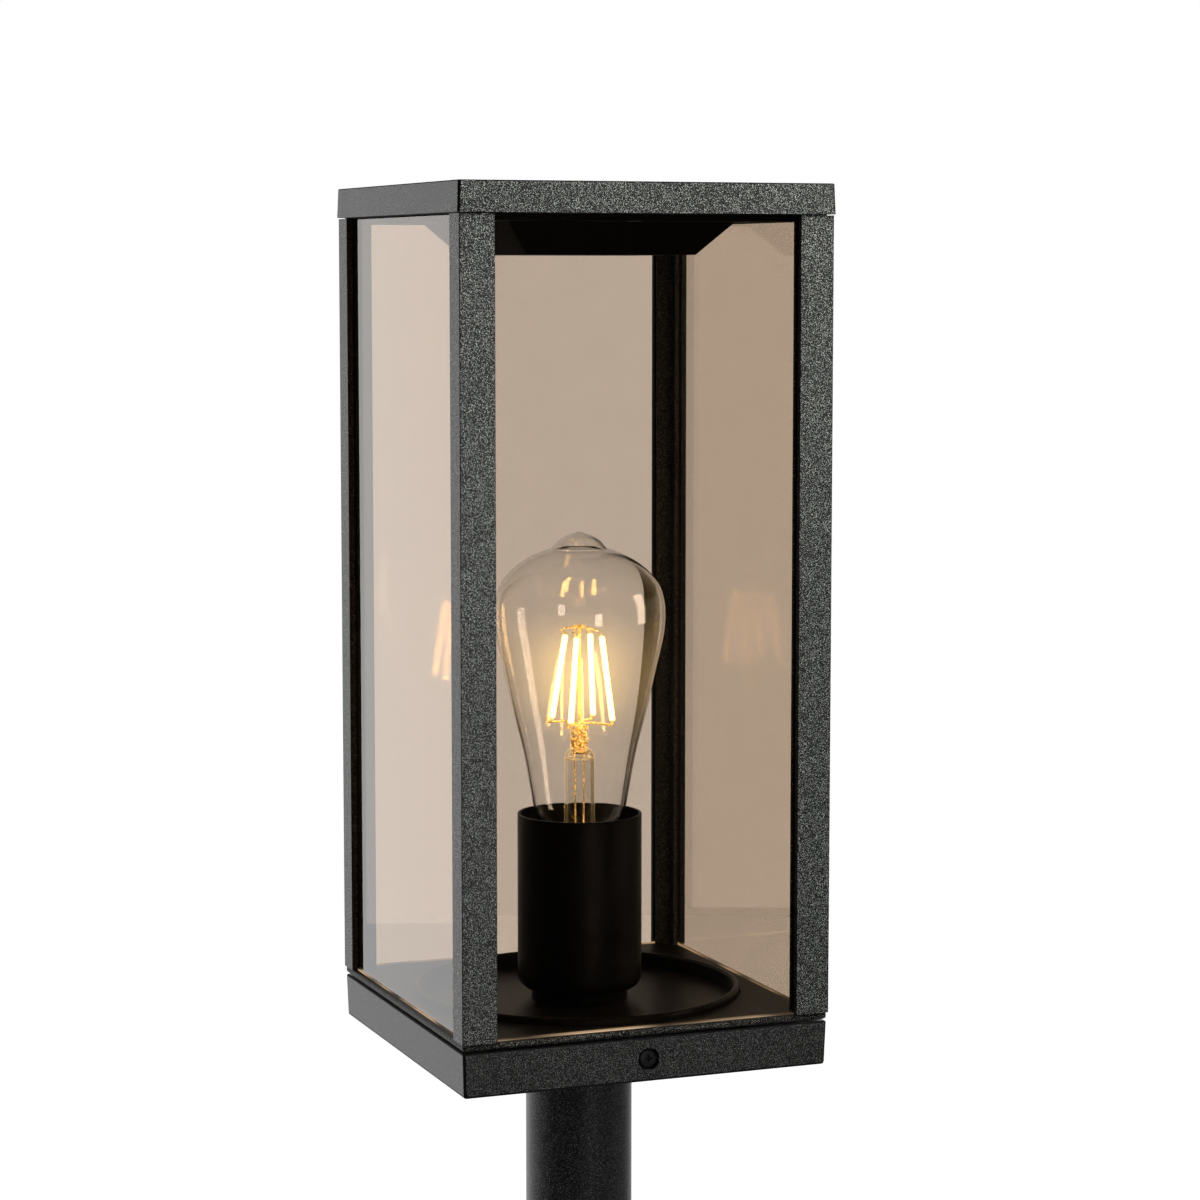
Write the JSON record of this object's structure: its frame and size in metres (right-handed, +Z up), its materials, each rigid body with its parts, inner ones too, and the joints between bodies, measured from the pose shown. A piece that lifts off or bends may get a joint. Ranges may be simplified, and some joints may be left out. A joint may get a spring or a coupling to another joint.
{
  "type": "outdoor post light",
  "caption": "Square lantern head with smoke glass panes and a flat roof on a round tube post with a square foot plate; a pear shaped screw bulb stands in a round socket cup.",
  "frame": {"origin": "centre of the foot plate's underside, on the ground", "axes": "+Z up along the post, -Y towards the front lock screw, +X to the right seen from the front"},
  "size_m": [0.16, 0.16, 0.7999],
  "materials": {
    "powder_coat": "fine textured powder coat, matt",
    "smoke_glass": "clear, smoke brown",
    "clear_glass": "clear, fire polished",
    "filament": "phosphor coated, glows when lit",
    "gold_wire": "bright drawn wire",
    "plated_cap": "nickel plated, satin",
    "black_glass": "moulded, glossy",
    "black_rubber": "moulded, matt",
    "black_steel": "black oxide, satin",
    "steel": "stainless, machined",
    "brass": "bright",
    "tinned_copper": "tinned",
    "aluminium": "as machined",
    "black_phenolic": "moulded, semi gloss",
    "grey_nylon": "moulded, matt",
    "white_nylon": "moulded, satin",
    "brown_cover": "extruded",
    "blue_cover": "extruded",
    "green_cover": "extruded, with a yellow stripe"
  },
  "bodies": {
    "base": {"foot_plate": "powder_coat", "foot_grub_screws": "black_steel", "post_tube": "powder_coat", "post_insert": "aluminium", "post_screws": "steel", "base_housing": "powder_coat", "cable_grommet": "black_rubber", "cable_clamp": "grey_nylon", "clamp_screws": "steel", "terminal_block": "white_nylon", "terminal_clamps": "brass", "terminal_fixing_screws": "steel", "earth_lug": "tinned_copper", "earth_screw": "brass", "live_lead": "brown_cover", "neutral_lead": "blue_cover", "earth_lead": "green_cover", "drip_tray": "powder_coat", "tray_screws": "steel", "head_seal": "black_rubber", "cup_spacer": "powder_coat", "socket_cup": "powder_coat", "socket_nipple": "steel", "nipple_nut": "steel", "lampholder_base": "black_phenolic", "lampholder_body": "black_phenolic", "lampholder_terminals": "brass", "threaded_shell": "brass", "centre_contact": "brass"},
    "head": {"head_plate": "powder_coat", "corner_post_front_left": "powder_coat", "corner_post_front_right": "powder_coat", "corner_post_back_left": "powder_coat", "corner_post_back_right": "powder_coat", "pane_front": "smoke_glass", "pane_back": "smoke_glass", "pane_left": "smoke_glass", "pane_right": "smoke_glass", "glazing_strips": "black_rubber", "post_bottom_screws": "steel", "top_frame": "powder_coat", "post_top_screws": "steel", "roof_gasket": "black_rubber", "heat_shield": "powder_coat", "heat_shield_screws": "steel", "roof_cap": "powder_coat", "roof_cap_screws": "steel"},
    "bulb_carrier": {"bulb_contact": "plated_cap"},
    "bulb": {"bulb_insulator": "black_glass", "bulb_screw_cap": "plated_cap", "bulb_glass": "clear_glass", "bulb_stem": "clear_glass", "bulb_filaments": "filament", "bulb_filament_frame": "gold_wire"},
    "front_screw_slide": {"front_lock_oring": "black_rubber"},
    "front_screw": {"front_lock_screw": "black_steel"},
    "back_screw_slide": {"back_lock_oring": "black_rubber"},
    "back_screw": {"back_lock_screw": "black_steel"}
  },
  "joints": [
    {"name": "head_lift", "type": "slide", "parent": "base", "child": "head", "axis": [0, 0, 1], "range_m": [0, 0.21]},
    {"name": "bulb_rise", "type": "slide", "parent": "base", "child": "bulb_carrier", "axis": [0, 0, 1], "range_m": [0, 0.014]},
    {"name": "bulb_turn", "type": "hinge", "parent": "bulb_carrier", "child": "bulb", "pos_m": [0, 0, 0.541], "axis": [0, 0, 1], "range_deg": [0, 1386]},
    {"name": "front_screw_advance", "type": "slide", "parent": "base", "child": "front_screw_slide", "axis": [0, -1, 0], "range_m": [0, 0.00245]},
    {"name": "front_screw_turn", "type": "hinge", "parent": "front_screw_slide", "child": "front_screw", "pos_m": [0, -0.0675, 0.4893], "axis": [0, -1, 0], "range_deg": [0, 1261]},
    {"name": "back_screw_advance", "type": "slide", "parent": "base", "child": "back_screw_slide", "axis": [0, 1, 0], "range_m": [0, 0.00245]},
    {"name": "back_screw_turn", "type": "hinge", "parent": "back_screw_slide", "child": "back_screw", "pos_m": [0, 0.0675, 0.4893], "axis": [0, 1, 0], "range_deg": [0, 1261]}
  ],
  "couplings": [
    {"joint": "bulb_rise", "follows": "bulb_turn", "m_per_rad": 0.00057757},
    {"joint": "front_screw_turn", "follows": "front_screw_advance", "rad_per_m": 8976},
    {"joint": "back_screw_turn", "follows": "back_screw_advance", "rad_per_m": 8976}
  ]
}
